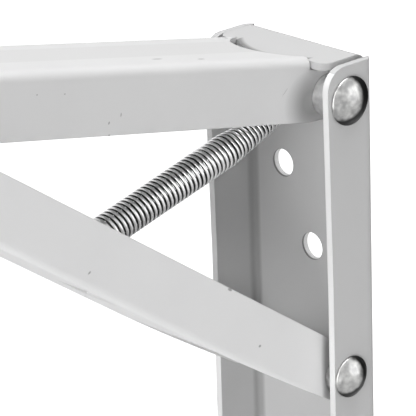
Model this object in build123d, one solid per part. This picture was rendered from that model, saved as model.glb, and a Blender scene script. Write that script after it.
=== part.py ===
from build123d import *
import os
from math import atan2, cos, degrees, hypot, pi, radians, sin

# Folding shelf bracket: a wall channel, a shelf arm and a brace, each folded from one sheet, on two
# riveted pivots, with a coil spring that pulls the brace up under the arm's catch pin.
# Frame, in millimetres: X runs along the pivots, the wall is the plane Y = 0, the arm reaches out
# along -Y and Z is up. The origin lies on the wall, level with the upper pivot.
# The pieces stand as the open bracket does: the arm raised a little and the brace caught on its pin.

# Sheet and fits
sheet = 2.0
bend = 2.4  # outside radius of the arm's and the brace's folds
pin_play = 0.05  # radial play of a rivet in its holes
side_play = 0.15  # play beside a turning part
far = 500.0  # longer than the bracket, for cutting bodies
cut_over = 1.0  # how far a cutter runs past what it cuts

# Wall channel
channel_bend = 3.5  # outside radius of the channel's folds
channel_depth_top = 17.0
channel_depth = 16.3
channel_straight_z = -50.0  # below this the front edges run plumb
channel_top = 9.4
channel_foot = 82.0  # below the lower pivot
channel_corner = 6.0
foot_corner = 5.0
tab_top = 10.0
tab_inset = 3.4  # of the tab's sides from the flanges' outer faces
tab_reach = 14.8  # to the tab's shoulders
tab_tongue_reach = 18.6  # to the middle of its round tongue
tab_tongue_radius = 21.0
tab_corner = 3.0
tab_relief = 1.4
screw_hole = 7.6
screw_left = -9.5
screw_right = 0.9
screw_first_z = -26.5
screw_step = 21.1
screw_lower_set = 97.0  # from the upper pair of screws to the lower pair

# Pivots
upper_depth = 9.5  # from the wall
lower_depth = 10.6
pivot_distance = 76.0
upper_shank = 8.0
upper_head = 12.9
upper_head_height = 3.1
lower_shank = 6.5
lower_head = 11.3
lower_head_height = 3.0
head_rim = 0.5
peened_share = 0.6  # of a head's dome that the hammer leaves nearly flat
spacer_diameter = 11.0
upper_sleeve_diameter = 11.0
tube_play = 0.15
lug_play = 0.3  # between the wall lug and the sleeves beside it
lower_washer_diameter = 12.0
lower_washer = 1.2

# Arm
arm_width = 30.2
arm_above = 9.5  # from the pivot up to its top face
arm_below = 7.2
arm_length = 292.0  # from the pivot to the tip
arm_rise = 11.6  # degrees above level when open
arm_ear = 6.5
arm_heel = 5.0
arm_web_start = 7.5
arm_notch_radius = 12.8
arm_notch_middle = 4.0  # from the pivot along the arm
arm_tip_corner = 9.0
arm_tip_top_corner = 2.5
shelf_hole = 5.5
shelf_hole_outer = 30.0  # from the tip
shelf_hole_inner = 104.0

# Brace
brace_play = 0.4  # between the brace and the washers of the catch pin
brace_above = 6.6  # from the pivot line up to the open edges
brace_below = 9.4
brace_rise = 35.3
brace_ear = 7.8
brace_web_start = 46.0
brace_taper_end = 48.0
brace_taper_middle = 22.0
brace_taper_drop = 8.8
brace_length = 186.0
brace_nose_corner = 5.0
brace_end_corner = 9.0

# Catch pin and the brace's hooked end
catch_reach = 177.0  # along the brace from its pivot
catch_sink = 1.05  # of the pin's axis below the brace's open edge
catch_shank = 7.0
catch_head = 11.0
catch_head_height = 2.6
catch_sleeve_diameter = 10.0
catch_washer_diameter = 12.0
catch_washer = 2.0
catch_head_gap = 0.5
catch_seat_radius = 4.4
catch_lip_radius = 2.0

# Spring and its hooks
spring_wire = 1.2
spring_diameter = 9.1
spring_turns = 42
spring_sides = 12  # flats round each turn
spring_end_diameter = 4.7
spring_upper_taper = 20.0
spring_lower_taper = 3.0
spring_upper_gap = 7.0  # from a hook's eye to the first turn
spring_lower_gap = 6.3
spring_groove = 0.42
hook_wire = 1.4
hook_sides = 6
hook_ring = 2.6  # mean radius of the hook's ring
upper_hook_stem = 13.0  # from the eye to the head inside the turns
lower_hook_stem = 7.5
hook_head = 3.4
hook_head_height = 1.2
upper_eye_out = 5.4  # from the wall
upper_eye_drop = 6.5  # below the upper pivot
upper_eye_edge = 2.9
lug_eye = 3.2  # the eyes' diameter
lug_root = 8.0
lower_eye_reach = 86.2  # along the brace from its pivot
lower_eye_rise = 0.85
lower_eye_edge = 3.4
lower_lug_root = 12.0
lug_window_gap = 0.6

# Worked out from the values above
arm_inner_half = arm_width / 2 - sheet
brace_inner_half = arm_width / 2 + catch_washer + brace_play
brace_width = 2 * (brace_inner_half + sheet)
inner_half = brace_width / 2 + lower_washer + 2 * side_play
channel_width = 2 * (inner_half + sheet)
tab_width = channel_width - 2 * tab_inset
channel_bottom = -pivot_distance - channel_foot


def along(depth, drop, rise, reach, offset):
    """Depth from the wall and height of a point on an arm that turns about a pivot."""
    turn = radians(rise)
    out = depth + reach * cos(turn) - offset * sin(turn)
    height = drop + reach * sin(turn) + offset * cos(turn)
    return out, height


catch_out, catch_z = along(
    lower_depth, -pivot_distance, brace_rise, catch_reach, brace_above - catch_sink
)
catch_angle = degrees(atan2(catch_z, catch_out - upper_depth)) - arm_rise
catch_radius = hypot(catch_out - upper_depth, catch_z)
catch_on_arm = catch_radius * cos(radians(catch_angle))
catch_above_arm = catch_radius * sin(radians(catch_angle))
lower_eye_out, lower_eye_z = along(
    lower_depth, -pivot_distance, brace_rise, lower_eye_reach, lower_eye_rise
)
upper_eye_z = -upper_eye_drop
spring_run = hypot(lower_eye_out - upper_eye_out, lower_eye_z - upper_eye_z)
spring_slope = atan2(lower_eye_z - upper_eye_z, lower_eye_out - upper_eye_out)


def side(sketch, width):
    """A plate of the given width, cut to a side view drawn in Y and Z."""
    return extrude(Plane.YZ * sketch, amount=width / 2, both=True)


def side_hole(y, z, diameter):
    """A round cutter along X through the whole bracket."""
    return Pos(0, y, z) * Rot(0, 90, 0) * Cylinder(diameter / 2, far)


def tube(inner, outer, length, x):
    """A tube along X with its middle at x."""
    ring = Cylinder(outer / 2, length) - Cylinder(inner / 2, length)
    return Pos(x, 0, 0) * Rot(0, 90, 0) * ring


def box_between(low, high):
    """A block between two corners."""
    size = [b - a for a, b in zip(low, high)]
    middle = [(a + b) / 2 for a, b in zip(low, high)]
    return Pos(*middle) * Box(*size)


def folded_section(width, height, closed_side, radius):
    """The section of a channel with two rounded folds, its closed side up (1) or down (-1)."""
    outer = Rectangle(width, height)
    folds = outer.vertices().sort_by(Axis.Y)
    outer = fillet(folds[-2:] if closed_side > 0 else folds[:2], radius)
    inner = Rectangle(width - 2 * sheet, height - sheet)
    folds = inner.vertices().sort_by(Axis.Y)
    inner = fillet(folds[-2:] if closed_side > 0 else folds[:2], radius - sheet)
    return outer - Pos(0, -closed_side * sheet / 2) * inner


def set_on_pivot(piece, depth, height, rise):
    """Turns a piece drawn level about its pivot and puts it in place."""
    return Pos(0, -depth, height) * Rot(-rise, 0, 0) * piece


def rivet(shank, grip, head, head_height):
    """A rivet along X with a peened head at each end."""
    half = grip / 2
    tip = (half + head_height, 0)
    rim = (half + head_rim, head / 2)
    dome_height = head_height - head_rim
    dome_radius = (head**2 / 4 + dome_height**2) / (2 * dome_height)
    turn = atan2(head / 2, dome_radius - dome_height) * peened_share
    shoulder = (tip[0] - dome_radius * (1 - cos(turn)), dome_radius * sin(turn))
    stem = Polyline((0, shank / 2), (half, shank / 2), (half, head / 2), rim, shoulder, tip)
    axis = Line((-tip[0], 0), tip)
    outline = stem + mirror(stem, Plane.YZ) + axis
    return revolve(make_face(outline), Axis.X)


def eye_lug(edge, root, root_drop):
    """The side view of a lug with its eye at the origin and its root edge below."""
    ring = Circle(edge).edges()
    foot = Line((-root / 2, -root_drop), (root / 2, -root_drop))
    return make_hull(ring + foot.edges()) - Circle(lug_eye / 2)


def make_wall_channel():
    section = folded_section(channel_width, channel_depth_top, 1, channel_bend)
    height = channel_top - channel_bottom
    channel = Pos(0, -channel_depth_top / 2, channel_bottom) * extrude(section, amount=height)

    outline = Polyline(
        (sheet, channel_top),
        (sheet, channel_bottom - cut_over),
        (-channel_depth, channel_bottom - cut_over),
        (-channel_depth, channel_straight_z),
        (-channel_depth_top, 0),
        (-channel_depth_top, channel_top),
        close=True,
    )
    flange = make_face(outline)
    top_corner = flange.vertices().sort_by_distance((-channel_depth_top, channel_top))[0]
    flange = fillet(top_corner, channel_corner)
    channel = channel & side(flange, channel_width)

    foot_edges = channel.edges().filter_by(Axis.X).group_by(Axis.Z)[0].sort_by(Axis.Y)
    channel = fillet(foot_edges[:2], foot_corner)

    relief = tab_width / 2 + tab_relief
    bend_start = tab_top - channel_bend
    low = (-relief, -sheet - cut_over, bend_start - cut_over)
    channel -= box_between(low, (relief, cut_over, far))
    channel += make_tab(bend_start)

    for x, z in screw_places():
        channel -= Pos(x, 0, z) * Rot(90, 0, 0) * Cylinder(screw_hole / 2, 4 * sheet)
    channel -= side_hole(-upper_depth, 0, upper_shank + 2 * pin_play)
    channel -= side_hole(-lower_depth, -pivot_distance, lower_shank + 2 * pin_play)
    return channel + make_wall_lug() - wall_lug_window()


def make_tab(bend_start):
    """The top of the web, folded forward over the arm's end."""
    blank = Rectangle(far, far, align=(Align.MAX, Align.MAX))
    blank = Pos(0, tab_top) * fillet(blank.vertices().sort_by_distance((0, 0))[0], channel_bend)
    hollow = Rectangle(far, far, align=(Align.MAX, Align.MAX))
    hollow = Pos(-sheet, tab_top - sheet) * fillet(
        hollow.vertices().sort_by_distance((0, 0))[0], channel_bend - sheet
    )
    strip = side(blank - hollow, tab_width)
    strip &= box_between((-far, -far, bend_start - sheet), (far, far, far))
    plan = Rectangle(tab_width, 2 * tab_reach)
    plan = fillet(plan.vertices().sort_by(Axis.Y)[:2], tab_corner)
    tongue = Pos(0, tab_tongue_radius - tab_tongue_reach) * Circle(tab_tongue_radius)
    tongue &= Rectangle(tab_width - 4 * tab_corner, 2 * tab_tongue_reach)
    return strip & extrude(plan + tongue, amount=far)


def screw_places():
    for set_drop in (0, screw_lower_set):
        yield screw_left, screw_first_z - set_drop
        yield screw_right, screw_first_z - screw_step - set_drop


def make_wall_lug():
    """The lug cut and folded out of the web for the spring's upper hook."""
    outline = Rot(0, 0, 90) * eye_lug(upper_eye_edge, lug_root, upper_eye_out - sheet)
    return side(Pos(-upper_eye_out, upper_eye_z) * outline, sheet)


def wall_lug_window():
    """The opening that the folded lug leaves in the web."""
    reach = upper_eye_out - sheet + upper_eye_edge
    low = (sheet / 2 + lug_window_gap, -sheet - cut_over, upper_eye_z - lug_root / 2)
    high = (low[0] + reach, cut_over, upper_eye_z + lug_root / 2)
    return box_between(low, high)


def make_arm():
    height = arm_above + arm_below
    section = Plane.XZ * Pos(0, (arm_above - arm_below) / 2) * folded_section(arm_width, height, 1, bend)
    blank = Pos(0, arm_ear, 0) * extrude(section, amount=arm_length + arm_ear)

    ear = Circle(arm_ear).edges()
    heel = Polyline(
        (-arm_heel, -arm_below), (-2 * arm_web_start, -arm_below), (-2 * arm_web_start, arm_ear)
    )
    outline = make_hull(ear + heel.edges())
    reach = arm_length - arm_web_start
    bar = Rectangle(reach, height, align=(Align.MAX, Align.MIN))
    bar = Pos(-arm_web_start, -arm_below) * bar
    tip = bar.vertices().sort_by_distance((-arm_length, -arm_below))[0]
    bar = fillet(tip, arm_tip_corner)
    tip_top = bar.vertices().sort_by_distance((-arm_length, arm_above))[0]
    bar = fillet(tip_top, arm_tip_top_corner)
    arm = blank & side(outline + bar, arm_width)

    arm -= arm_end_notch()
    arm -= side_hole(0, 0, upper_shank + 2 * pin_play)
    arm -= side_hole(-catch_on_arm, catch_above_arm, catch_shank)
    for from_tip in (shelf_hole_outer, shelf_hole_inner):
        arm -= Pos(0, from_tip - arm_length, arm_above) * Cylinder(shelf_hole / 2, 4 * sheet)
    return set_on_pivot(arm, upper_depth, 0, arm_rise)


def arm_end_notch():
    """A round bite out of the arm's top face, clear of the tab's tongue."""
    return Pos(0, -arm_notch_middle, arm_above) * Cylinder(arm_notch_radius, 2 * (sheet + bend))


def make_brace():
    height = brace_above + brace_below
    lift = (brace_above - brace_below) / 2
    section = Plane.XZ * Pos(0, lift) * folded_section(brace_width, height, -1, bend)
    blank = Pos(0, brace_ear, 0) * extrude(section, amount=brace_length + brace_ear)

    outline = Polyline(
        (-brace_taper_end, -brace_below),
        (-brace_length, -brace_below),
        (-brace_length, brace_above),
        (-brace_ear, brace_above),
        (0, 0),
        (0, -brace_ear),
    )
    taper = ThreePointArc(
        (0, -brace_ear), (-brace_taper_middle, -brace_taper_drop), (-brace_taper_end, -brace_below)
    )
    face = make_face(outline + taper) + Circle(brace_ear)
    end = face.vertices().sort_by_distance((-brace_length, -brace_below))[0]
    face = fillet(end, brace_end_corner)
    nose = face.vertices().sort_by_distance((-brace_length, brace_above))[0]
    face = fillet(nose, brace_nose_corner)
    face -= catch_seat()
    brace = blank & side(face, brace_width)

    open_half = brace_inner_half
    brace -= box_between((-open_half, -brace_web_start, -far), (open_half, far, far))
    brace -= side_hole(0, 0, lower_shank + 2 * pin_play)
    brace += side(brace_lug(), sheet)
    brace -= brace_lug_window()
    return set_on_pivot(brace, lower_depth, -pivot_distance, brace_rise)


def catch_seat():
    """The open seat for the catch pin in the brace's edges, with rounded lips."""
    centre = (-catch_reach, brace_above - catch_sink)
    mouth = catch_seat_radius + catch_lip_radius
    seat = Pos(*centre) * Circle(catch_seat_radius)
    channel = Pos(centre[0], brace_above) * Rectangle(
        2 * catch_seat_radius, catch_sink, align=(Align.CENTER, Align.MAX)
    )
    flare = Pos(centre[0], brace_above) * Rectangle(
        2 * mouth, catch_lip_radius, align=(Align.CENTER, Align.MAX)
    )
    for x in (-mouth, mouth):
        flare -= Pos(centre[0] + x, brace_above - catch_lip_radius) * Circle(catch_lip_radius)
    return seat + channel + flare


def brace_lug():
    """The side view of the lug folded up from the brace's web for the lower hook."""
    root_drop = lower_eye_rise + brace_below - sheet
    return Pos(-lower_eye_reach, lower_eye_rise) * eye_lug(lower_eye_edge, lower_lug_root, root_drop)


def brace_lug_window():
    height = lower_eye_rise + brace_below - sheet + lower_eye_edge
    near = lower_eye_reach - lower_lug_root / 2
    low = (sheet / 2 + lug_window_gap, -near - lower_lug_root, -brace_below - cut_over)
    high = (low[0] + height, -near, -brace_below + sheet + cut_over)
    return box_between(low, high)


def spring_plane(from_lower):
    """A frame on the spring's axis, at one eye, looking along the spring."""
    turn = spring_slope
    if from_lower:
        return Plane((0, -lower_eye_out, lower_eye_z), (1, 0, 0), (0, cos(turn), -sin(turn)))
    return Plane((0, -upper_eye_out, upper_eye_z), (1, 0, 0), (0, -cos(turn), sin(turn)))


def coil_radius(reach):
    """Mean radius of the turns at a distance from the upper eye."""
    from_upper = (reach - spring_upper_gap) / spring_upper_taper
    from_lower = (spring_run - spring_lower_gap - reach) / spring_lower_taper
    share = min(max(min(from_upper, from_lower), 0), 1)
    end = (spring_end_diameter - spring_wire) / 2
    full = (spring_diameter - spring_wire) / 2
    return end + (full - end) * share


def ring_points(radius, height):
    """The corners of one ring of the spring's skin."""
    turns = [2 * pi * side / spring_sides for side in range(spring_sides)]
    return [Vector(radius * cos(turn), radius * sin(turn), height) for turn in turns]


def ring_body(rings):
    """A hollow body on the Z axis with a skin of flat faces through rings that come round again."""
    corners = [ring_points(radius, height) for radius, height in rings]
    faces = []
    for low, high in zip(corners, corners[1:] + corners[:1]):
        for side in range(spring_sides):
            after = (side + 1) % spring_sides
            outline = Wire.make_polygon([low[side], low[after], high[after], high[side]])
            faces.append(Face(outline))
    return Solid(Shell(faces))


def make_spring():
    """The coil as a hollow body with one ridge for each turn, tapered at both ends."""
    last = spring_run - spring_lower_gap
    pitch = (last - spring_upper_gap) / spring_turns
    half_wire = spring_wire / 2
    outside = []
    for turn in range(spring_turns):
        valley = spring_upper_gap + turn * pitch
        crest = valley + pitch / 2
        outside.append((coil_radius(valley) + half_wire - spring_groove, valley))
        outside.append((coil_radius(crest) + half_wire, crest))
    outside.append((coil_radius(last) + half_wire - spring_groove, last))
    tapered = spring_upper_gap + spring_upper_taper
    bends = (last, last - spring_lower_taper, tapered, spring_upper_gap)
    inside = [(coil_radius(reach) - half_wire, reach) for reach in bends]
    return spring_plane(False) * ring_body(outside + inside)


def make_hook(from_lower):
    """A swivel hook: a ring through the lug's eye, a stem and a head inside the end turns."""
    wire = Pos(hook_ring, 0) * RegularPolygon(hook_wire / 2, hook_sides)
    ring = Pos(0, 0, hook_ring) * Rot(90, 0, 0) * revolve(Plane.XZ * wire, Axis.Z)
    bottom = 2 * hook_ring
    top = lower_hook_stem if from_lower else upper_hook_stem
    stem = Pos(0, 0, bottom) * Cylinder(
        hook_wire / 2, top - bottom, align=(Align.CENTER, Align.CENTER, Align.MIN)
    )
    head = Pos(0, 0, top) * Cylinder(
        hook_head / 2, hook_head_height, align=(Align.CENTER, Align.CENTER, Align.MIN)
    )
    return spring_plane(from_lower) * (ring + stem + head)


def make_pieces():
    grip = channel_width
    upper = Pos(0, -upper_depth, 0)
    lower = Pos(0, -lower_depth, -pivot_distance)
    catch = Pos(0, -catch_out, catch_z)
    spacer_length = inner_half - arm_width / 2 - side_play
    spacer_x = inner_half - spacer_length / 2
    sleeve = arm_inner_half - side_play - sheet / 2 - lug_play
    sleeve_x = arm_inner_half - side_play - sleeve / 2
    washer_x = inner_half - lower_washer / 2
    catch_washer_x = arm_width / 2 + catch_washer / 2
    tube_bore = upper_shank + 2 * tube_play
    pieces = {
        "wall_channel": make_wall_channel(),
        "arm": make_arm(),
        "brace": make_brace(),
        "upper_rivet": upper * rivet(upper_shank, grip, upper_head, upper_head_height),
        "lower_rivet": lower * rivet(lower_shank, grip, lower_head, lower_head_height),
        "catch_pin": catch * rivet(
            catch_shank, brace_width + 2 * catch_head_gap, catch_head, catch_head_height
        ),
        "catch_sleeve": catch * tube(
            catch_shank + 2 * tube_play, catch_sleeve_diameter, 2 * arm_inner_half, 0
        ),
        "spring": make_spring(),
        "spring_hook_upper": make_hook(False),
        "spring_hook_lower": make_hook(True),
    }
    for name, hand in (("near", 1), ("far", -1)):
        pieces[f"upper_spacer_{name}"] = upper * tube(
            tube_bore, spacer_diameter, spacer_length, hand * spacer_x
        )
        pieces[f"upper_sleeve_{name}"] = upper * tube(
            tube_bore, upper_sleeve_diameter, sleeve, hand * sleeve_x
        )
        pieces[f"lower_washer_{name}"] = lower * tube(
            lower_shank + 2 * tube_play, lower_washer_diameter, lower_washer, hand * washer_x
        )
        pieces[f"catch_washer_{name}"] = catch * tube(
            catch_shank + 2 * tube_play, catch_washer_diameter, catch_washer, hand * catch_washer_x
        )
    return pieces


os.makedirs("parts", exist_ok=True)
for name, piece in make_pieces().items():
    export_step(piece, f"parts/{name}.step")
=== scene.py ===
from math import atan2, cos, pi, radians, sin

import bpy
from mathutils import Matrix, Vector, noise


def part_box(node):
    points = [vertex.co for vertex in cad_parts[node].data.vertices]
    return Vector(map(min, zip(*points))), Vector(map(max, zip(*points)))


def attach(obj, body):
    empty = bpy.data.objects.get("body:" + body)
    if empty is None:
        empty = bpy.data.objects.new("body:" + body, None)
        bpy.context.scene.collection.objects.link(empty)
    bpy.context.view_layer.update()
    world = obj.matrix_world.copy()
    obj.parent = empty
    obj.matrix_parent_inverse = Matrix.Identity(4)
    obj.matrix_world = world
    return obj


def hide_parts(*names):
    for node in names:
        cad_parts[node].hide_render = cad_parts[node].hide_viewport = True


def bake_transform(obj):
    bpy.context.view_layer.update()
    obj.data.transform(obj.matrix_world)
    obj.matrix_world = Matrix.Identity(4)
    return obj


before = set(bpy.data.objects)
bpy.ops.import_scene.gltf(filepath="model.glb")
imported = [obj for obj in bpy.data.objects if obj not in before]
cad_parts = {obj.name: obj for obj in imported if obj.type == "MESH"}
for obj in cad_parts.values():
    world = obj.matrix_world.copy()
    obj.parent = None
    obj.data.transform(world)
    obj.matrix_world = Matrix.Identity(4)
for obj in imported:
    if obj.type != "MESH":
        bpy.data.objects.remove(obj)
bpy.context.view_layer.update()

# Everything is in metres, in the part's own frame: X along the pivots, the wall at Y = 0, Z up.
MM = 0.001
ACROSS = Vector((1, 0, 0))

# Camera, as fitted to the photograph: one point of the bracket, its pixel and its depth fix its place
PICTURE = 416
FOCAL_PIXELS = 3000.0
CAMERA_AZIMUTH = 47.64
CAMERA_ELEVATION = 20.515
CAMERA_ROLL = 1.905
ANCHOR = Vector((0, -9.504 * MM, 0))
ANCHOR_PIXEL = (285.789, 81.746)
ANCHOR_DEPTH = 777.681 * MM
SENSOR = 36.0
NEAREST_SEEN = 0.01
FARTHEST_SEEN = 50

# Spring: the eyes that it hangs on, the gaps from them to the coil, and the lengths of its tapers
UPPER_EYE = Vector((0, -5.4, -6.5)) * MM
LOWER_EYE = Vector((0, -80.4599, -25.4950)) * MM
UPPER_GAP = 7.0 * MM
LOWER_GAP = 5.0 * MM
UPPER_TAPER = 20.0 * MM
LOWER_TAPER = 1.5 * MM
SPRING_TURNS = 45
SPRING_WIRE = 0.52 * MM
SPRING_RADIUS = 4.03 * MM
SPRING_END_RADIUS = 1.75 * MM
SHADED_SHARE = 0.4  # of the wire's radius out from its middle, where the painted shade of the gaps between turns begins
COIL_STEPS = 28
COIL_SIDES = 14

# Spring hooks: ring, wire, stem lengths from the eye, and the button head's outline, each point with its
# distance past the stem in mm and its share of the head's radius
HOOK_RING = 2.6 * MM
HOOK_WIRE = 0.7 * MM
HOOK_OPENING = 0.06  # of the ring's turn
HOOK_STEPS = 36
HOOK_SIDES = 10
UPPER_STEM = 13.0 * MM
LOWER_STEM = 7.5 * MM
STEM_SIDES = 20
HOOK_HEAD = 1.7 * MM
HOOK_HEAD_OUTLINE = ((0.05, 0.85), (0.3, 1.0), (0.9, 1.0), (1.2, 0.7))

# Rivets, in mm: pivot centre, shank radius, half grip, head radius, head height, and the body they ride
RIVETS = {
    "upper_rivet": ((-9.5, 0.0), 4.0, 23.0, 6.45, 3.1, "mount_body"),
    "lower_rivet": ((-10.6, -76.0), 3.25, 23.0, 5.65, 3.0, "mount_body"),
}
HEAD_RIM = 0.5
HEAD_BEVEL = 0.15
DENT_SCALE = 0.55
DENT_SHIFT = Vector((3.1, 0, 0))
DENT_DEPTH = 0.10
DENT_SPREAD = 0.16
TIP_DENT = 0.12
REFLECTION_FACE_SHIFT = (-0.36, 0.34)  # from the head's middle to the middle of its painted reflection's bright face, in head radii
REFLECTION_FACE_RIM = (0.74, 0.96)  # head radii out from there, between which the painted dark reflection sets in
DOME_STEPS = 14
RIVET_SIDES = 72

# Catch pin's sleeve: its bore, bevel, and the half length and depth of its waist
ROLLER_BORE = 3.65 * MM
ROLLER_BEVEL = 0.3 * MM
ROLLER_WAIST = 9.0 * MM
ROLLER_DEPTH = 0.75 * MM
ROLLER_STEPS = 24
ROLLER_SIDES = 48

# Coat: its lightness on each piece, lower on the wall channel and the arm as painted shade, and a darker
# band along the arm's top with its middle and half width in mm and its share of that lightness
CHANNEL_SHADED_TONE = 0.64
ARM_SHADED_TONE = 0.775
BRACE_TONE = 0.885
ARM_BAND = (-1.5, 6.4, 0.95)
COAT_GLOSS = 0.2
COAT_ROUGHNESS = (0.48, 0.6)
COAT_EDGE = 0.45 * MM

# Marks and spots of painted shade in the coat, in mm: centre, tilt in degrees in the plane of the pieces'
# sides, and half lengths. A look gives the shares of those lengths between which it fades, and its grey.
MARK_LOOK = (0.55, 1.1, 0.42)
SHADE_SPOT_LOOK = (0.35, 1.0, 0.4)
ARM_MARKS = (
    ((15.1, -79.2, 12.1), 80, (0.5, 0.6, 0.2)),
    ((15.1, -83.1, 11.0), 60, (0.5, 0.45, 0.3)),
    ((15.1, -83.3, 7.9), 0, (0.5, 0.4, 0.3)),
    ((15.1, -104.7, 23.5), 0, (0.5, 0.24, 0.2)),
    ((15.1, -96.3, 21.6), 0, (0.5, 0.24, 0.2)),
    ((15.1, -24.4, 4.2), 40, (0.5, 1.6, 0.07)),
    ((8.1, -60.8, 20.2), -11.6, (0.5, 1.9, 0.6)),
    ((10.2, -48.2, 17.6), -11.6, (0.5, 1.3, 0.6)),
    ((14.8, -49.8, 18.0), -11.6, (0.4, 0.5, 0.5)),
    ((-11.9, -19.1, 11.7), -11.6, (0.6, 0.6, 0.5)),
)
BRACE_MARKS = (
    ((19.5, -95.1, -22.8), 30, (0.5, 0.6, 0.3)),
    ((19.5, -39.7, -59.3), 0, (0.5, 0.5, 0.4)),
    ((19.5, -49.5, -40.8), -35, (0.9, 0.9, 0.4)),
)
# Painted shade on the arm's side next to the flange and under the tab
ARM_PAINTED_SHADE = (
    ((15.1, -14.5, -0.8), -11.6, (30.0, 10.5, 9.0)),
)
# Painted shade down the wall channel's inner corners, where the flanges meet the web
CHANNEL_CORNER_SHADE = (
    ((-20.4, -2.6, -74.3), 0, (1.9, 2.2, 160.0)),
    ((20.4, -2.6, -74.3), 0, (1.9, 2.2, 160.0)),
)
# Painted shade on the brace's side in its narrow gap to the near flange
BRACE_GAP_SHADE = (
    ((19.5, -15.4, -73.0), 0, (1.0, 2.6, 20.0)),
)

# Wall channel: painted shade and highlight on the walls of its screw holes, a painted highlight on the
# front edges of its flanges, and a painted shadow line around its tongue
SCREW_HOLES = tuple(
    ((x, -1.0, z - drop), 0, (3.9, 50.0, 3.9))
    for drop in (0, 97.0)
    for x, z in ((-9.5, -26.5), (0.9, -47.6))
)
HOLE_LOOK = (0.96, 1.0)
HOLE_MOUTH = -1.45 * MM
# Screw holes' walls: painted highlight at their back, painted shade at their mouth
HOLE_BACK_HIGHLIGHT = 0.95
HOLE_MOUTH_SHADE = 0.08
# Painted highlight on the front edges of the flanges
FLANGE_INSIDE = 20.9 * MM
FORWARD_LIMIT = -0.6
FLANGE_EDGE_HIGHLIGHT = 0.93
# Painted shadow line round the tongue: its middle, reach, half width and grey
TONGUE_SHIFT = Vector((0, -2.4, 0)) * MM
TONGUE_SHADOW_REACH = (19.2 * MM, 20.4 * MM)
TONGUE_HALF_WIDTH = 13.0 * MM
TONGUE_SHADOW_TONE = 0.3

# Metals: the dark and the light of their clouds, and their roughness
ZINC_LOOK = ((0.34, 0.34, 0.34, 1), (0.6, 0.6, 0.6, 1), 0.3)
# A lighter, rougher copy of the zinc for the upper spacers, painted light where they catch the light in
# their gap
LIT_ZINC_LOOK = ((0.7, 0.7, 0.7, 1), (0.85, 0.85, 0.85, 1), 0.5)
WIRE_LOOK = ((0.75, 0.75, 0.75, 1), (0.95, 0.95, 0.95, 1), 0.3)
# Painted shade on the inner side of the spring's turns
GAP_SHADE_LOOK = ((0.05, 0.05, 0.05, 1), (0.15, 0.15, 0.15, 1), 0.45)
RIVET_LOOK = ((0.38, 0.38, 0.38, 1), (0.63, 0.63, 0.62, 1), 0.38)
# Grey of the painted dark reflection round a rivet head's bright face
HEAD_RIM_DARK_REFLECTION = 0.035

# Lamps: each with its place seen from the middle of the bracket, size and power, at a distance of 1
LIT_MIDDLE = Vector((0, -0.08, -0.03))
LAMP_DISTANCE = 2.4
LAMPS = (
    ("top", (0.0, 0.05, 1.0), 0.8, 11.1),
    ("side", (0.82, 0.5, 0.21), 0.7, 2.45),
    ("front", (0.35, -0.87, 0.13), 0.8, 5.5),
    ("back", (-0.96, 0.12, 0.2), 0.8, 2.0),
)

# Surroundings: the level that lights the object, and the levels that the metal mirrors, with the
# direction of the dark side and the range over which it sets in
WHITE = (1, 1, 1, 1)
FILL_LEVEL = 0.03
MIRROR_LEVEL = 0.8
MIRROR_DARK = 0.03
DARK_SIDE = (-0.62, 0.78, -0.08)
DARK_RANGE = (0.25, 0.75)
FLOOR_HALF_SIZE = 12.0
FLOOR_HEIGHT = -0.7
FLOOR_TONE = 0.8
FLOOR_ROUGHNESS = 0.9
FLOOR_GLOW = 0.92
FLOOR_DARK_SIDE = (-0.62, 0.78, 0)
FLOOR_DARK_RANGE = (0.35, 1.3)


def place_camera():
    """A long lens from the photograph's angle, turned and shifted as the photograph is."""
    azimuth = radians(CAMERA_AZIMUTH)
    elevation = radians(CAMERA_ELEVATION)
    roll = radians(CAMERA_ROLL)
    back = Vector((sin(azimuth) * cos(elevation), -cos(azimuth) * cos(elevation), sin(elevation)))
    right = Vector((cos(azimuth), sin(azimuth), 0))
    up = back.cross(right)
    turned_right = cos(roll) * right - sin(roll) * up
    turned_up = sin(roll) * right + cos(roll) * up
    rotation = Matrix((turned_right, turned_up, back)).transposed()
    scale = ANCHOR_DEPTH / FOCAL_PIXELS
    seen = Vector((
        (ANCHOR_PIXEL[0] - PICTURE / 2) * scale,
        -(ANCHOR_PIXEL[1] - PICTURE / 2) * scale,
        -ANCHOR_DEPTH,
    ))
    data = bpy.data.cameras.new("camera")
    data.sensor_width = SENSOR
    data.lens = FOCAL_PIXELS / PICTURE * SENSOR
    data.clip_start = NEAREST_SEEN
    data.clip_end = FARTHEST_SEEN
    camera = bpy.data.objects.new("camera", data)
    camera.matrix_world = Matrix.Translation(ANCHOR - rotation @ seen) @ rotation.to_4x4()
    bpy.context.scene.collection.objects.link(camera)
    bpy.context.scene.camera = camera


def place_lights():
    """Soft square lamps around the bracket, each facing its middle."""
    for name, way, size, power in LAMPS:
        data = bpy.data.lights.new(name, "AREA")
        data.shape = "SQUARE"
        data.size = LAMP_DISTANCE * size
        data.energy = LAMP_DISTANCE ** 2 * power
        lamp = bpy.data.objects.new(name, data)
        place = LIT_MIDDLE + LAMP_DISTANCE * Vector(way)
        lamp.location = place
        lamp.rotation_mode = "QUATERNION"
        lamp.rotation_quaternion = (place - LIT_MIDDLE).to_track_quat("Z", "Y")
        bpy.context.scene.collection.objects.link(lamp)


def node_adder(tree):
    """A helper that adds a node to the tree, with its settings, and its inputs set or linked."""
    def add(kind, inputs=None, **settings):
        node = tree.nodes.new(kind)
        for key, value in settings.items():
            setattr(node, key, value)
        for key, value in (inputs or {}).items():
            socket = node.inputs[key]
            if hasattr(value, "is_output"):
                tree.links.new(value, socket)
            else:
                socket.default_value = value
        return node

    return add


def compute(add, operation, first, second=None, **settings):
    """The result of an operation on one or two numbers."""
    inputs = {0: first}
    if second is not None:
        inputs[1] = second
    return add("ShaderNodeMath", inputs, operation=operation, **settings).outputs["Value"]


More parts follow.
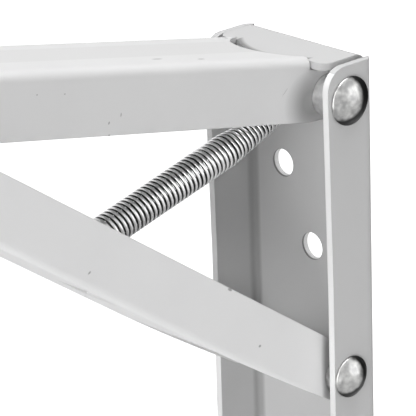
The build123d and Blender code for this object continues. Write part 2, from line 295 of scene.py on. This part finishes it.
def compute_vector(add, operation, first, second=None):
    """A node with an operation on one or two vectors."""
    inputs = {0: first}
    if second is not None:
        inputs[1] = second
    return add("ShaderNodeVectorMath", inputs, operation=operation)


def mix(add, share, under, over):
    """The colour under with the colour over laid on it by share."""
    mixed = add("ShaderNodeMix", {"Factor": share, "A": under, "B": over}, data_type="RGBA")
    return mixed.outputs["Result"]


def grey(level):
    """A grey of this level as a colour."""
    return (level, level, level, 1)


def mirrored_level(add, coords, dark_side, dark_range):
    """The level that metal mirrors, which falls towards the dark side."""
    way = compute_vector(add, "DOT_PRODUCT", coords, dark_side)
    level = add("ShaderNodeMapRange", {
        "Value": way.outputs["Value"], "From Min": dark_range[0], "From Max": dark_range[1],
        "To Min": MIRROR_LEVEL, "To Max": MIRROR_DARK,
    }, interpolation_type="SMOOTHSTEP")
    return level.outputs["Result"]


def make_world():
    """White behind the object, a plain level of light on it, and a dark side for the metal to mirror."""
    world = bpy.data.worlds.new("studio")
    bpy.context.scene.world = world
    world.use_nodes = True
    world.node_tree.nodes.clear()
    add = node_adder(world.node_tree)
    path = add("ShaderNodeLightPath")
    fill = add("ShaderNodeBackground", {"Color": WHITE, "Strength": FILL_LEVEL})
    seen = add("ShaderNodeBackground", {"Color": WHITE, "Strength": 1.0})
    coords = add("ShaderNodeTexCoord").outputs["Generated"]
    level = mirrored_level(add, coords, DARK_SIDE, DARK_RANGE)
    mirrored = add("ShaderNodeBackground", {"Color": WHITE, "Strength": level})
    glossy_mix = add("ShaderNodeMixShader", {
        "Fac": path.outputs["Is Glossy Ray"], 1: fill.outputs[0], 2: mirrored.outputs[0],
    })
    camera_mix = add("ShaderNodeMixShader", {
        "Fac": path.outputs["Is Camera Ray"], 1: glossy_mix.outputs[0], 2: seen.outputs[0],
    })
    add("ShaderNodeOutputWorld", {"Surface": camera_mix.outputs[0]})


def new_material(name):
    """A material with an empty node tree but for its shader and output."""
    material = bpy.data.materials.new(name)
    material.use_nodes = True
    tree = material.node_tree
    tree.nodes.clear()
    output = tree.nodes.new("ShaderNodeOutputMaterial")
    shader = tree.nodes.new("ShaderNodeBsdfPrincipled")
    tree.links.new(shader.outputs["BSDF"], output.inputs["Surface"])
    return material, tree, shader


def mark_pattern(add, place, marks, soft, sharp):
    """A value that is 1 inside small ellipsoids and 0 outside, fading from soft to sharp of their size."""
    nearest = 2.0
    for centre, tilt, lengths in marks:
        local = add("ShaderNodeMapping", {
            "Vector": place, "Location": Vector(centre) * MM, "Rotation": (radians(tilt), 0, 0),
            "Scale": Vector(lengths) * MM,
        }, vector_type="TEXTURE")
        distance = compute_vector(add, "LENGTH", local.outputs["Vector"])
        nearest = compute(add, "MINIMUM", nearest, distance.outputs["Value"])
    inside = add("ShaderNodeMapRange", {
        "Value": nearest, "From Min": soft, "From Max": sharp, "To Min": 1.0, "To Max": 0.0,
    })
    return inside.outputs["Result"]


def channel_painted_light(add, coords, tone):
    """Painted highlight on the flanges' front edges, painted shade and highlight on the screw holes' walls,
    and a painted shadow line at the tongue.
    """
    place = coords.outputs["Object"]
    parts = add("ShaderNodeSeparateXYZ", {"Vector": place})
    facing = add("ShaderNodeSeparateXYZ", {"Vector": coords.outputs["Normal"]})
    across = compute(add, "ABSOLUTE", parts.outputs["X"])
    # Painted highlight on the flanges' front edges
    outer = compute(add, "GREATER_THAN", across, FLANGE_INSIDE)
    forward = compute(add, "LESS_THAN", facing.outputs["Y"], FORWARD_LIMIT)
    front = compute(add, "MULTIPLY", outer, forward)
    tone = mix(add, front, tone, grey(FLANGE_EDGE_HIGHLIGHT))
    # Painted shade and highlight on the screw holes' walls
    mouth = compute(add, "LESS_THAN", parts.outputs["Y"], HOLE_MOUTH)
    wall = mix(add, mouth, grey(HOLE_BACK_HIGHLIGHT), grey(HOLE_MOUTH_SHADE))
    tone = mix(add, mark_pattern(add, place, SCREW_HOLES, *HOLE_LOOK), tone, wall)
    # Painted shadow line round the tongue
    around = compute_vector(add, "ADD", place, TONGUE_SHIFT)
    level = compute_vector(add, "MULTIPLY", around.outputs["Vector"], (1, 1, 0))
    radius = compute_vector(add, "LENGTH", level.outputs["Vector"])
    rim = add("ShaderNodeMapRange", {
        "Value": radius.outputs["Value"], "From Min": TONGUE_SHADOW_REACH[0], "From Max": TONGUE_SHADOW_REACH[1],
    })
    inner = compute(add, "LESS_THAN", across, TONGUE_HALF_WIDTH)
    upward = compute(add, "MULTIPLY", facing.outputs["Z"], inner)
    tongue_shadow = compute(add, "MULTIPLY", rim.outputs["Result"], upward, use_clamp=True)
    return mix(add, tongue_shadow, tone, grey(TONGUE_SHADOW_TONE))


def arm_details(add, coords, tone):
    """A slightly darker band along the arm's top."""
    middle, half_width, darkening = ARM_BAND
    parts = add("ShaderNodeSeparateXYZ", {"Vector": coords.outputs["Object"]})
    facing = add("ShaderNodeSeparateXYZ", {"Vector": coords.outputs["Normal"]})
    offset = compute(add, "ADD", parts.outputs["X"], -middle * MM)
    reach = compute(add, "ABSOLUTE", offset)
    upward = compute(add, "GREATER_THAN", facing.outputs["Z"], 0.9)
    inside = add("ShaderNodeMapRange", {
        "Value": reach, "From Min": (half_width - 0.2) * MM, "From Max": (half_width + 0.2) * MM,
        "To Min": 1.0, "To Max": 0.0,
    })
    share = compute(add, "MULTIPLY", inside.outputs["Result"], upward)
    return mix(add, share, tone, grey(ARM_SHADED_TONE * darkening))


def coat_material(name, level, marks, painted_shades, details=None):
    """Satin white powder coat with a faint orange peel, softened edges, a few marks and soft spots of
    painted shade.
    """
    material, tree, shader = new_material(name)
    add = node_adder(tree)
    coords = add("ShaderNodeTexCoord")
    place = coords.outputs["Object"]
    clouds = add("ShaderNodeTexNoise", {"Vector": place, "Scale": 45.0, "Detail": 3.0}).outputs["Fac"]
    tone = mix(add, clouds, (level * 0.97, level * 0.97, level * 0.975, 1), grey(level * 1.03))
    if details:
        tone = details(add, coords, tone)
    # Spots of painted shade first, then the marks
    for spots, (soft, sharp, shade) in ((painted_shades, SHADE_SPOT_LOOK), (marks, MARK_LOOK)):
        if spots:
            tone = mix(add, mark_pattern(add, place, spots, soft, sharp), tone, grey(shade))
    tree.links.new(tone, shader.inputs["Base Color"])
    sheen = add("ShaderNodeMapRange", {
        "Value": clouds, "To Min": COAT_ROUGHNESS[0], "To Max": COAT_ROUGHNESS[1],
    })
    tree.links.new(sheen.outputs["Result"], shader.inputs["Roughness"])
    peel = add("ShaderNodeTexNoise", {"Vector": place, "Scale": 900.0, "Detail": 2.0})
    soft_edge = add("ShaderNodeBevel", {"Radius": COAT_EDGE}, samples=6)
    bump = add("ShaderNodeBump", {
        "Height": peel.outputs["Fac"], "Strength": 0.12, "Distance": 0.06 * MM,
        "Normal": soft_edge.outputs["Normal"],
    })
    tree.links.new(bump.outputs["Normal"], shader.inputs["Normal"])
    shader.inputs["Specular IOR Level"].default_value = COAT_GLOSS
    return material


def painted_dark_rim(add, place, tone, centre, radius):
    """The metal's tone, with a painted dark reflection outside a bright round face with a wavy edge."""
    local = add("ShaderNodeMapping", {
        "Vector": place, "Location": Vector((0, *centre)) * MM,
        "Scale": Vector((1000 * radius, radius, radius)) * MM,
    }, vector_type="TEXTURE")
    waves = add("ShaderNodeTexNoise", {"Vector": place, "Scale": 420.0})
    wobble = compute_vector(add, "MULTIPLY", waves.outputs["Color"], (0.0, 0.22, 0.22))
    shaken = compute_vector(add, "ADD", local.outputs["Vector"], wobble.outputs["Vector"])
    reach = compute_vector(add, "LENGTH", shaken.outputs["Vector"])
    rim = add("ShaderNodeMapRange", {
        "Value": reach.outputs["Value"], "From Min": REFLECTION_FACE_RIM[0], "From Max": REFLECTION_FACE_RIM[1],
    }, interpolation_type="SMOOTHSTEP")
    return mix(add, rim.outputs["Result"], tone, grey(HEAD_RIM_DARK_REFLECTION))


def metal_material(name, look, reflection_face=None):
    """Zinc-plated steel, cloudy and finely scratched, with a painted dark reflection round the bright face
    of a rivet head.
    """
    dark, light, roughness = look
    material, tree, shader = new_material(name)
    add = node_adder(tree)
    place = add("ShaderNodeTexCoord").outputs["Object"]
    clouds = add("ShaderNodeTexNoise", {"Vector": place, "Scale": 500.0, "Detail": 4.0}).outputs["Fac"]
    patches = add("ShaderNodeMapRange", {"Value": clouds, "From Min": 0.35, "From Max": 0.65})
    tone = mix(add, patches.outputs["Result"], dark, light)
    if reflection_face:
        tone = painted_dark_rim(add, place, tone, *reflection_face)
    tree.links.new(tone, shader.inputs["Base Color"])
    shader.inputs["Metallic"].default_value = 1.0
    sheen = add("ShaderNodeMapRange", {
        "Value": clouds, "To Min": roughness * 0.8, "To Max": roughness * 1.3,
    })
    tree.links.new(sheen.outputs["Result"], shader.inputs["Roughness"])
    grain = add("ShaderNodeTexNoise", {"Vector": place, "Scale": 1500.0, "Detail": 2.0})
    bump = add("ShaderNodeBump", {
        "Height": grain.outputs["Fac"], "Strength": 0.2, "Distance": 0.03 * MM,
    })
    tree.links.new(bump.outputs["Normal"], shader.inputs["Normal"])
    return material


def mesh_object(name, points, faces, material, smooth=True):
    """An object in the scene with a mesh of these points and faces."""
    mesh = bpy.data.meshes.new(name)
    mesh.from_pydata([tuple(point) for point in points], [], faces)
    mesh.materials.append(material)
    for polygon in mesh.polygons:
        polygon.use_smooth = smooth
    thing = bpy.data.objects.new(name, mesh)
    bpy.context.scene.collection.objects.link(thing)
    return thing


def wire_along(path, radii, sides):
    """Points and faces of a round wire along a path of points, closed at both ends."""
    points = []
    faces = []
    normal = None
    for index, centre in enumerate(path):
        before = path[max(index - 1, 0)]
        after = path[min(index + 1, len(path) - 1)]
        tangent = (after - before).normalized()
        if normal is None:
            normal = tangent.orthogonal().normalized()
        normal = (normal - tangent * normal.dot(tangent)).normalized()
        across = tangent.cross(normal)
        for side in range(sides):
            turn = 2 * pi * side / sides
            points.append(centre + radii[index] * (cos(turn) * normal + sin(turn) * across))
    for index in range(len(path) - 1):
        for side in range(sides):
            a = index * sides + side
            b = index * sides + (side + 1) % sides
            faces.append((a, b, b + sides, a + sides))
    faces.append(tuple(range(sides - 1, -1, -1)))
    last = (len(path) - 1) * sides
    faces.append(tuple(range(last, last + sides)))
    return points, faces


def coil_radius(reach, run):
    """The coil's radius at a distance from the upper eye, with run between the eyes."""
    from_upper = (reach - UPPER_GAP) / UPPER_TAPER
    from_lower = (run - LOWER_GAP - reach) / LOWER_TAPER
    share = min(max(min(from_upper, from_lower), 0), 1)
    return SPRING_END_RADIUS + (SPRING_RADIUS - SPRING_END_RADIUS) * share


def make_coil(along, material, shaded):
    """The wound wire, with painted shade on its inside, which stretches between its two bodies."""
    across = along.cross(ACROSS)
    run = (LOWER_EYE - UPPER_EYE).length
    length = run - UPPER_GAP - LOWER_GAP
    steps = SPRING_TURNS * COIL_STEPS
    path = []
    for step in range(steps + 1):
        share = step / steps
        reach = UPPER_GAP + SPRING_WIRE + share * (length - 2 * SPRING_WIRE)
        turn = 2 * pi * SPRING_TURNS * share
        radius = coil_radius(reach, run)
        path.append(UPPER_EYE + along * reach + radius * (cos(turn) * ACROSS + sin(turn) * across))
    points, faces = wire_along(path, [SPRING_WIRE] * len(path), COIL_SIDES)
    coil = mesh_object("spring_coil", points, faces, material)
    coil.data.materials.append(shaded)
    # Faces on the wire's inner side take the painted shade
    for polygon in coil.data.polygons:
        from_eye = polygon.center - UPPER_EYE
        reach = from_eye.dot(along)
        out = (from_eye - reach * along).length - coil_radius(reach, run)
        if out < SHADED_SHARE * SPRING_WIRE:
            polygon.material_index = 1
    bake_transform(coil)
    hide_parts("spring")


def make_hook(name, node, body, eye, along, stem, material):
    """A ring through the lug's eye, closed onto a stem with a button head inside the coil."""
    centre = eye + along * HOOK_RING
    path = []
    for step in range(HOOK_STEPS + 1):
        turn = pi * HOOK_OPENING + 2 * pi * (1 - HOOK_OPENING) * step / HOOK_STEPS
        path.append(centre + HOOK_RING * (cos(turn) * along + sin(turn) * ACROSS))
    points, faces = wire_along(path, [HOOK_WIRE] * len(path), HOOK_SIDES)
    outline = [(2 * HOOK_RING, HOOK_WIRE), (stem, HOOK_WIRE)]
    outline += [(stem + past * MM, HOOK_HEAD * share) for past, share in HOOK_HEAD_OUTLINE]
    stem_path = [eye + along * reach for reach, radius in outline]
    stem_radii = [radius for reach, radius in outline]
    stem_points, stem_faces = wire_along(stem_path, stem_radii, STEM_SIDES)
    offset = len(points)
    points += stem_points
    faces += [tuple(corner + offset for corner in face) for face in stem_faces]
    hook = mesh_object(name, points, faces, material)
    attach(hook, body)
    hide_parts(node)


def head_outline(shank, grip, head, height):
    """Half of a rivet's outline, from the middle of its shank to the tip: distance along, and radius."""
    dome = height - HEAD_RIM
    radius = (head ** 2 + dome ** 2) / (2 * dome)
    edge = atan2(head, radius - dome)
    outline = [
        (0, shank), (grip, shank), (grip, head - HEAD_BEVEL), (grip + HEAD_BEVEL, head),
        (grip + HEAD_RIM, head),
    ]
    for step in range(1, DOME_STEPS):
        turn = edge * (1 - step / DOME_STEPS)
        outline.append((grip + height - radius * (1 - cos(turn)), radius * sin(turn)))
    return outline


def make_rivet(name):
    """A rivet with domed heads, dented by the hammer."""
    (y, z), shank, grip, head, height, body = RIVETS[name]
    # Middle of the head's bright face, outside which the painted dark reflection lies
    reflection_centre = (y + REFLECTION_FACE_SHIFT[0] * head, z + REFLECTION_FACE_SHIFT[1] * head)
    material = metal_material(name + "_zinc", RIVET_LOOK, (reflection_centre, head))
    outline = head_outline(shank, grip, head, height)
    sides = RIVET_SIDES
    points = []
    faces = []
    for hand in (1, -1):
        first = len(points)
        for along, radius in outline:
            for side in range(sides):
                turn = 2 * pi * side / sides
                point = Vector((hand * along, y + radius * cos(turn), z + radius * sin(turn)))
                if along > grip + HEAD_RIM:
                    dent = noise.noise(point * DENT_SCALE + DENT_SHIFT)
                    point.x -= hand * (DENT_DEPTH + DENT_SPREAD * dent)
                points.append(point * MM)
        tip = Vector((hand * (grip + height - TIP_DENT), y, z))
        points.append(tip * MM)
        for ring in range(len(outline) - 1):
            for side in range(sides):
                a = first + ring * sides + side
                b = first + ring * sides + (side + 1) % sides
                quad = (a, b, b + sides, a + sides)
                faces.append(quad if hand > 0 else quad[::-1])
        last = first + (len(outline) - 1) * sides
        for side in range(sides):
            triangle = (last + side, last + (side + 1) % sides, first + len(outline) * sides)
            faces.append(triangle if hand > 0 else triangle[::-1])
    rivet = mesh_object(name + "_look", points, faces, material)
    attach(rivet, body)
    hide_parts(name)


def make_roller(material):
    """The catch pin's sleeve, waisted in the middle where the folded spring passes over it."""
    low, high = (Vector(corner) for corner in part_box("catch_sleeve"))
    middle = (low + high) / 2
    half = (high.x - low.x) / 2
    outer = (high.y - low.y) / 2
    outline = [(-half, ROLLER_BORE), (-half, outer - ROLLER_BEVEL), (-half + ROLLER_BEVEL, outer)]
    for step in range(ROLLER_STEPS + 1):
        x = ROLLER_WAIST * (2 * step / ROLLER_STEPS - 1)
        outline.append((x, outer - ROLLER_DEPTH * (1 + cos(pi * x / ROLLER_WAIST)) / 2))
    outline += [(half - ROLLER_BEVEL, outer), (half, outer - ROLLER_BEVEL), (half, ROLLER_BORE)]
    points = []
    faces = []
    for x, radius in outline:
        for side in range(ROLLER_SIDES):
            turn = 2 * pi * side / ROLLER_SIDES
            points.append(middle + Vector((x, radius * cos(turn), radius * sin(turn))))
    for ring in range(len(outline)):
        this_ring = ring * ROLLER_SIDES
        next_ring = (ring + 1) % len(outline) * ROLLER_SIDES
        for side in range(ROLLER_SIDES):
            beside = (side + 1) % ROLLER_SIDES
            faces.append((this_ring + side, this_ring + beside, next_ring + beside, next_ring + side))
    roller = mesh_object("catch_roller", points, faces, material)
    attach(roller, "arm_body")
    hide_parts("catch_sleeve")


def floor_material():
    """A plain pale surface that the camera sees as white, shadows apart, and the metal as its dark side."""
    material, tree, shader = new_material("floor")
    add = node_adder(tree)
    shader.inputs["Base Color"].default_value = grey(FLOOR_TONE)
    shader.inputs["Roughness"].default_value = FLOOR_ROUGHNESS
    plain = shader.outputs["BSDF"]
    path = add("ShaderNodeLightPath")
    coords = add("ShaderNodeTexCoord").outputs["Object"]
    level = mirrored_level(add, coords, FLOOR_DARK_SIDE, FLOOR_DARK_RANGE)
    mirrored = add("ShaderNodeEmission", {"Color": WHITE, "Strength": level})
    glow = add("ShaderNodeEmission", {"Color": WHITE, "Strength": FLOOR_GLOW})
    both = add("ShaderNodeAddShader", {0: plain, 1: glow.outputs["Emission"]})
    metal_view = add("ShaderNodeMixShader", {
        "Fac": path.outputs["Is Glossy Ray"], 1: plain, 2: mirrored.outputs["Emission"],
    })
    clear = add("ShaderNodeMixShader", {
        "Fac": path.outputs["Is Camera Ray"], 1: metal_view.outputs["Shader"], 2: both.outputs["Shader"],
    })
    tree.links.new(clear.outputs["Shader"], tree.get_output_node("ALL").inputs["Surface"])
    return material


def make_floor():
    """A floor well below the bracket, which takes its shadow."""
    size = FLOOR_HALF_SIZE
    corners = [(x * size, y * size, FLOOR_HEIGHT) for x, y in ((-1, -1), (1, -1), (1, 1), (-1, 1))]
    floor = mesh_object("floor", corners, [(0, 1, 2, 3)], floor_material(), smooth=False)


def dress_nodes(zinc):
    """The solids' own materials: a coat on each sheet piece, darkened on the wall channel and the arm as
    painted shade, and zinc on the small ones, lighter on the upper spacers as painted light.
    """
    # Painted light: the upper spacers get a lighter copy of the zinc
    lit_zinc_copy = metal_material("lit_zinc", LIT_ZINC_LOOK)
    # The coats differ only in lightness: painted shade darkens the wall channel and the arm
    coats = {
        "wall_channel": coat_material("channel_coat", CHANNEL_SHADED_TONE, (), CHANNEL_CORNER_SHADE, channel_painted_light),
        "arm": coat_material("arm_coat", ARM_SHADED_TONE, ARM_MARKS, ARM_PAINTED_SHADE, arm_details),
        "brace": coat_material("brace_coat", BRACE_TONE, BRACE_MARKS, BRACE_GAP_SHADE),
    }
    for name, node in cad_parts.items():
        material = coats.get(name, lit_zinc_copy if name.startswith("upper_spacer") else zinc)
        node.data.materials.clear()
        node.data.materials.append(material)


def main():
    """The pieces that the scene adds or replaces, then the floor, the light and the camera."""
    zinc = metal_material("zinc_plate", ZINC_LOOK)
    wire = metal_material("spring_wire", WIRE_LOOK)
    gaps = metal_material("spring_gap_shade", GAP_SHADE_LOOK)
    dress_nodes(zinc)
    for name in RIVETS:
        make_rivet(name)
    along = (LOWER_EYE - UPPER_EYE).normalized()
    make_coil(along, wire, gaps)
    for name, body, eye, way, stem in (
        ("spring_hook_upper", "spring_end", UPPER_EYE, along, UPPER_STEM),
        ("spring_hook_lower", "spring_body", LOWER_EYE, -along, LOWER_STEM),
    ):
        make_hook(name + "_look", name, body, eye, way, stem, wire)
    make_roller(zinc)
    make_floor()
    make_world()
    place_lights()
    place_camera()
    bpy.context.scene.view_settings.view_transform = "Standard"


main()
